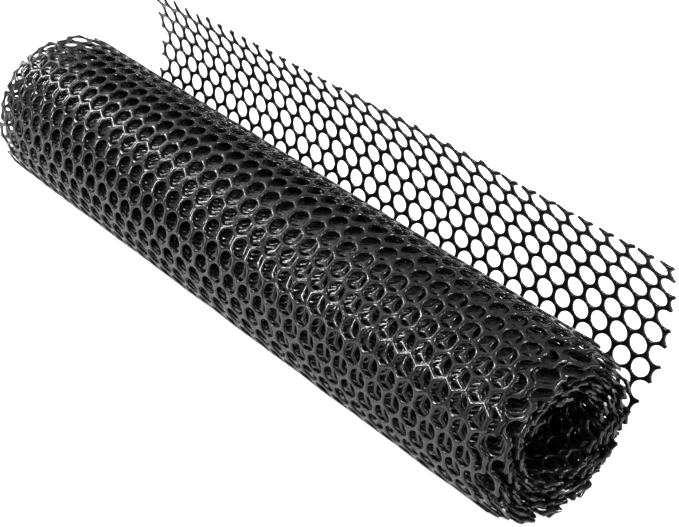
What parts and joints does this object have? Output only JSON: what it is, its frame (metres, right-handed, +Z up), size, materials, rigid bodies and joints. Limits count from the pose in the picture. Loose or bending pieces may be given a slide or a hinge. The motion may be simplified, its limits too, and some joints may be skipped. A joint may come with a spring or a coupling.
{
  "type": "roll of plastic mesh fencing",
  "caption": "Hollow roll of black honeycomb plastic netting lying on its side, its loose end standing up and curling back over it.",
  "frame": {"origin": "middle of the bounding box in plan, on the surface that the roll lies on", "axes": "+Y along the roll's axis towards its far end, +X towards the side where the loose end stands, +Z up"},
  "size_m": [0.1102, 0.422, 0.1235],
  "materials": {
    "wound_net": "semi-gloss black moulded polyethylene net, wound in turns",
    "loose_net": "semi-gloss black moulded polyethylene net, a single open layer"
  },
  "bodies": {
    "root": {"wound_roll": "wound_net", "loose_end": "loose_net"}
  },
  "joints": []
}
